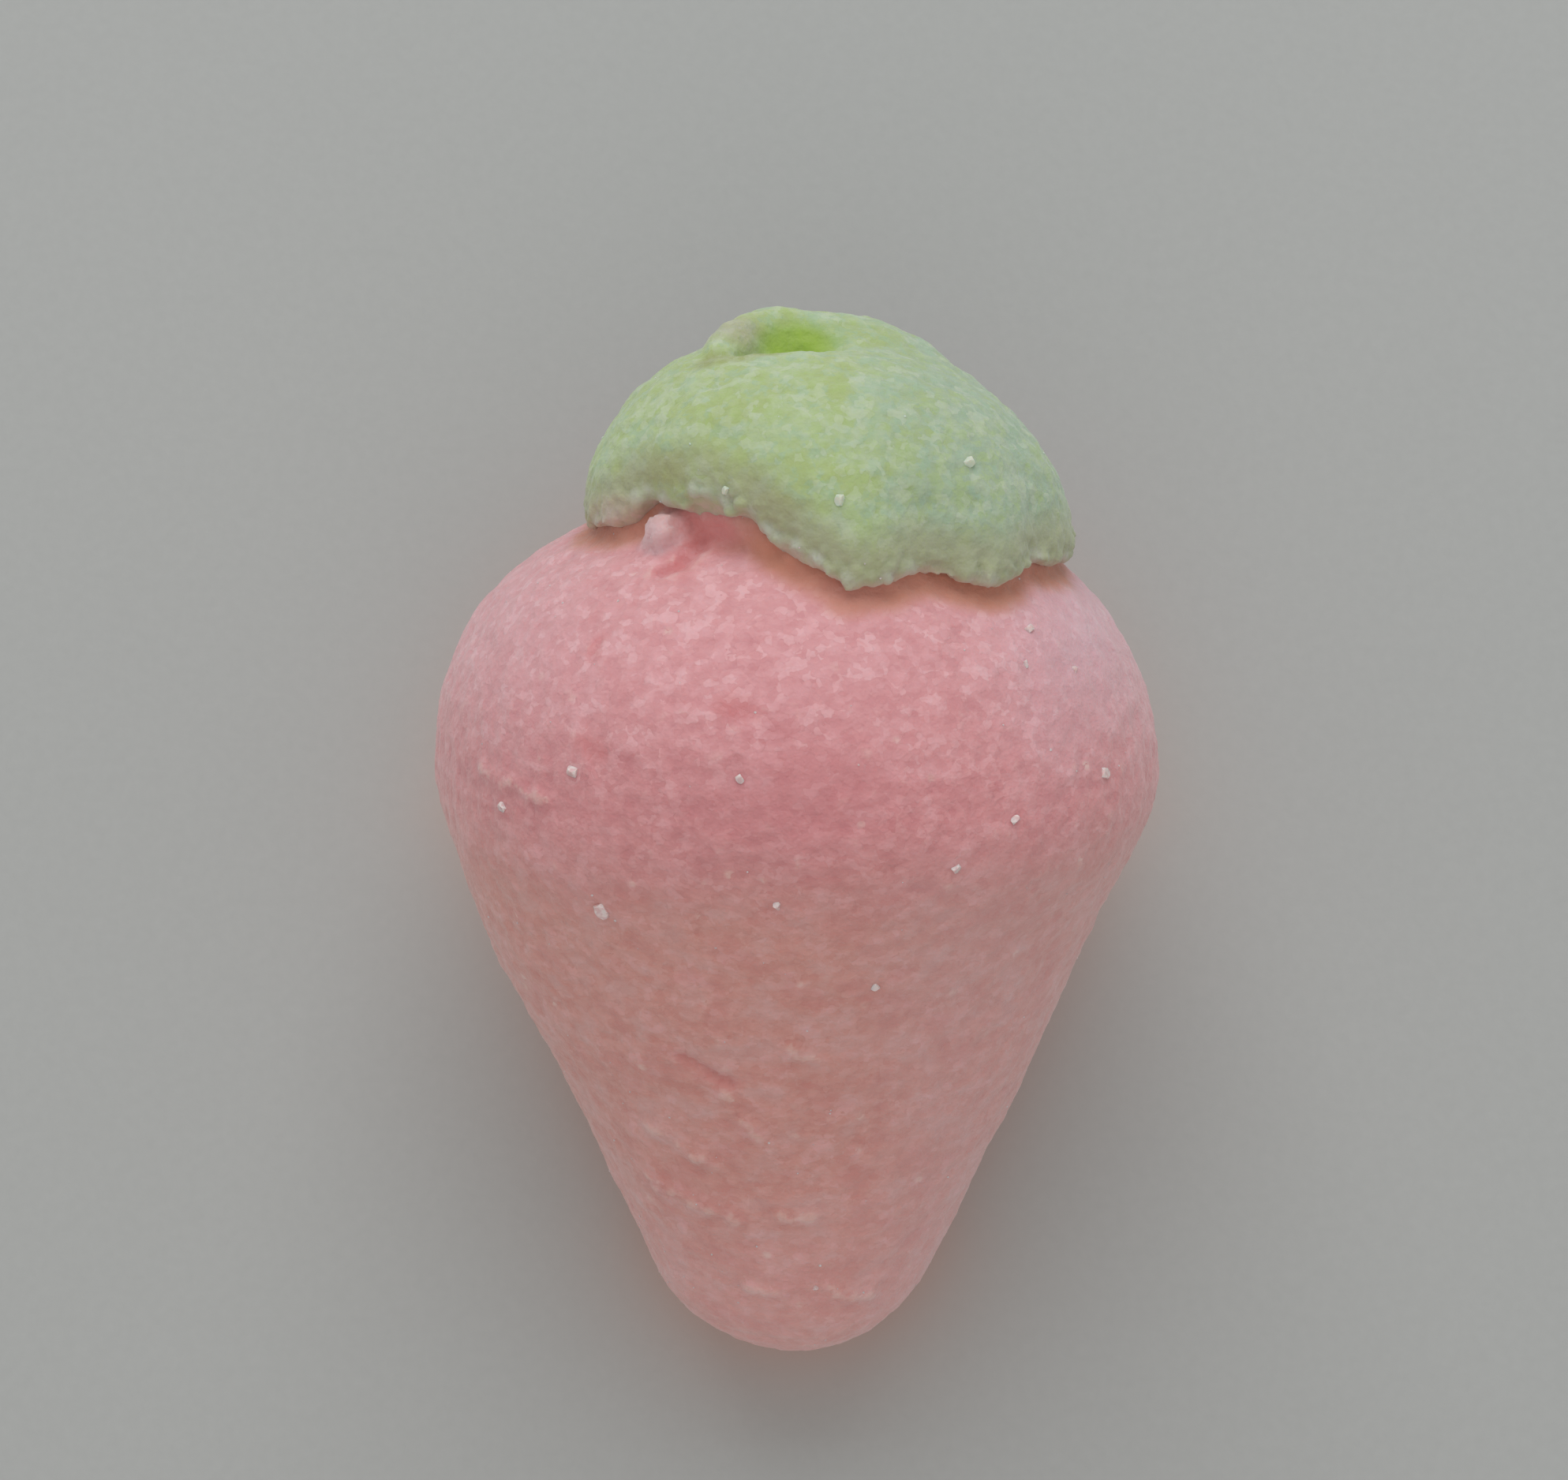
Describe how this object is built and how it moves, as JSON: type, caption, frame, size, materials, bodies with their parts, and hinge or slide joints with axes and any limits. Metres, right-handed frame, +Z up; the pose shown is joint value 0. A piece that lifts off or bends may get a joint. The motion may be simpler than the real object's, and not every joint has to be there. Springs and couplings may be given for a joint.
{
  "type": "strawberry-shaped marshmallow",
  "caption": "Soft pink marshmallow shaped like a strawberry, with a round tip and a pale green cap, dusted with sugar and lying on its flank.",
  "frame": {"origin": "the middle of the part's box seen from above, on the surface it lies on", "axes": "+Z is up, +Y points along the marshmallow from its tip towards its green cap, +X is to the right with the cap away from the viewer"},
  "size_m": [0.0318, 0.0444, 0.0303],
  "materials": {
    "pink_marshmallow": "soft foam sugar, matte pink under a fine pale powder with a few sugar crystals",
    "green_marshmallow": "soft foam sugar, matte pale green under a fine pale powder with a few sugar crystals",
    "sugar_crystals": "clear white sugar grains"
  },
  "bodies": {
    "root": {"pink_body": "pink_marshmallow", "green_cap": "green_marshmallow"}
  },
  "joints": []
}
